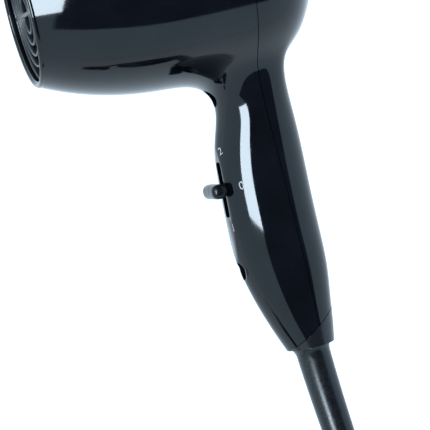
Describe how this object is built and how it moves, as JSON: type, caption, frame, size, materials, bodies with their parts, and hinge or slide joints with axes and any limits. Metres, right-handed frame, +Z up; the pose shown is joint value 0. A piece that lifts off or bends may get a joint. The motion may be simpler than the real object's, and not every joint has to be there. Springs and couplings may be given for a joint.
{
  "type": "hair dryer",
  "caption": "Compact pistol-grip hair dryer: a flared barrel with outlet and inlet grilles, heater, fan and motor, a slim handle with a slide switch, and a coiled cord with a plug.",
  "frame": {"origin": "centre of the underside of the lying dryer's box, on the surface it lies on, without the cord", "axes": "+Z up from the surface; +Y towards the barrel from the handle's end; -X the way the air leaves the outlet"},
  "size_m": [0.1546, 0.3672, 0.0884],
  "materials": {
    "housing_black": "gloss",
    "satin_black": "satin",
    "cord_black": "satin",
    "grille_black": "satin",
    "mica": "mica sheet, satin",
    "heating_wire": "bright wound wire",
    "steel": "bright",
    "brass": "bright",
    "white_nylon": "satin",
    "lead_brown": "satin",
    "lead_blue": "satin"
  },
  "bodies": {
    "dryer": {"front_housing": "housing_black", "rear_housing": "housing_black", "outlet_grille": "grille_black", "mica_tube": "mica", "mica_board_upright": "mica", "mica_board_level": "mica", "heater_coil_front": "heating_wire", "heater_coil_middle": "heating_wire", "heater_coil_rear": "heating_wire", "thermostat": "steel", "thermal_fuse": "white_nylon", "motor_mount": "white_nylon", "motor": "steel", "inlet_filter": "grille_black", "inlet_grille": "grille_black", "switch_body": "white_nylon", "upper_screw": "steel", "lower_screw": "steel", "lead_live": "lead_brown", "lead_neutral": "lead_blue", "lead_switched": "lead_brown", "cord_clamp": "satin_black", "clamp_screw_left": "steel", "clamp_screw_right": "steel", "cord_collar": "satin_black", "strain_relief": "satin_black", "power_cord": "cord_black", "cord_coil": "cord_black", "plug_lead": "cord_black", "cord_tie": "satin_black", "plug_body": "cord_black", "plug_pin_left": "brass", "plug_pin_right": "brass"},
    "fan_rotor": {"fan": "white_nylon", "motor_shaft": "steel"},
    "switch_knob": {"switch_knob": "satin_black"}
  },
  "joints": [
    {"name": "fan_spin", "type": "hinge", "parent": "dryer", "child": "fan_rotor", "pos_m": [-0.05786, 0.08793, 0.04422], "axis": [1, 0, 0], "continuous": true},
    {"name": "switch_slide", "type": "slide", "parent": "dryer", "child": "switch_knob", "axis": [0.061, 0.9774, 0.2025], "range_m": [-0.0065, 0.0065]}
  ]
}
